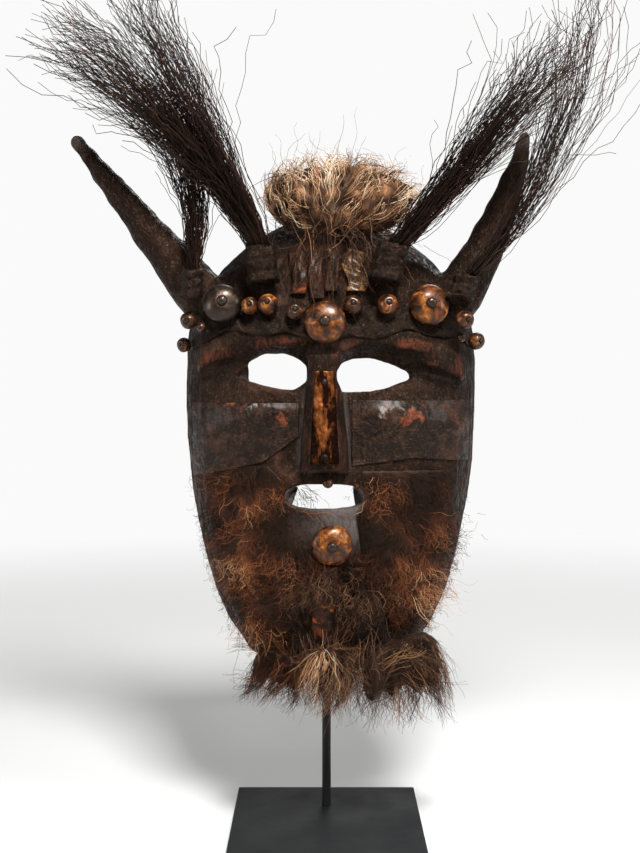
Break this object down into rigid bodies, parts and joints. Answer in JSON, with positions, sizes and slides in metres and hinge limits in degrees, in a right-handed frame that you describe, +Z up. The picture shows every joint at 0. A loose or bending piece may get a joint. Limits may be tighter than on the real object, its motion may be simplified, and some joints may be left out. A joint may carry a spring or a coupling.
{
  "type": "horned shaman dance mask on a stand",
  "caption": "Carved wooden horned dance mask with hair bundles, fur, hide patches and lacquered bosses, held upright on a black steel rod and plate.",
  "frame": {"origin": "centre of the base plate's underside", "axes": "+Z up along the rod, -Y the way the face looks, +X to the right of someone facing it"},
  "size_m": [0.3932, 0.127, 0.5956],
  "materials": {
    "black_steel": "satin black",
    "carved_wood": "dark oiled and smoked, worn brown on the edges",
    "copper_strip": "dull copper with dark tarnish",
    "nail_iron": "dark rusted",
    "glossy_hide": "glued hide, glossy and wrinkled",
    "pale_hide": "pale stiff hide, glossy",
    "dark_leather": "dry dark leather",
    "amber_lacquer": "glossy amber-brown lacquer, worn",
    "dark_lacquer": "glossy dark lacquer",
    "horsehair": "coarse dark hair",
    "brown_fur": "curly brown and black goat fur",
    "pale_fur": "cream, tan and grey fur"
  },
  "bodies": {
    "root": {"base_plate": "black_steel", "stand_rod": "black_steel", "stand_screw_top": "black_steel", "stand_screw_bottom": "black_steel", "mask": "carved_wood", "nose_strip": "copper_strip", "nose_nail_top": "nail_iron", "nose_nail_bottom": "nail_iron", "hide_left": "glossy_hide", "hide_right": "glossy_hide", "headband": "dark_leather", "forehead_hide": "glossy_hide", "forehead_fold": "pale_hide", "brow_boss_left": "dark_lacquer", "brow_boss_centre": "amber_lacquer", "brow_boss_right": "amber_lacquer", "chin_boss": "amber_lacquer", "brow_pin_left": "dark_lacquer", "brow_pin_centre": "dark_lacquer", "brow_pin_right": "dark_lacquer", "chin_pin": "dark_lacquer", "lip_bead": "dark_lacquer", "topknot": "pale_fur", "cheek_fur_left": "brown_fur", "cheek_fur_right": "brown_fur", "beard_left": "brown_fur", "beard_centre": "pale_fur", "beard_right": "pale_fur", "chin_strip_left": "dark_leather", "chin_strip_centre": "dark_leather", "chin_strip_right": "dark_leather", "brow_bead_1": "amber_lacquer", "brow_bead_2": "amber_lacquer", "brow_bead_3": "amber_lacquer", "brow_bead_4": "amber_lacquer", "brow_bead_5": "amber_lacquer", "brow_bead_6": "amber_lacquer", "brow_bead_7": "amber_lacquer", "brow_bead_8": "amber_lacquer", "brow_bead_9": "amber_lacquer", "brow_bead_10": "amber_lacquer", "brow_bead_11": "amber_lacquer", "wrap_left_outer": "dark_leather", "hair_left_outer": "horsehair", "wrap_left_inner": "dark_leather", "hair_left_inner": "horsehair", "wrap_right_inner": "dark_leather", "hair_right_inner": "horsehair", "wrap_right_outer": "dark_leather", "hair_right_outer": "horsehair"}
  },
  "joints": []
}
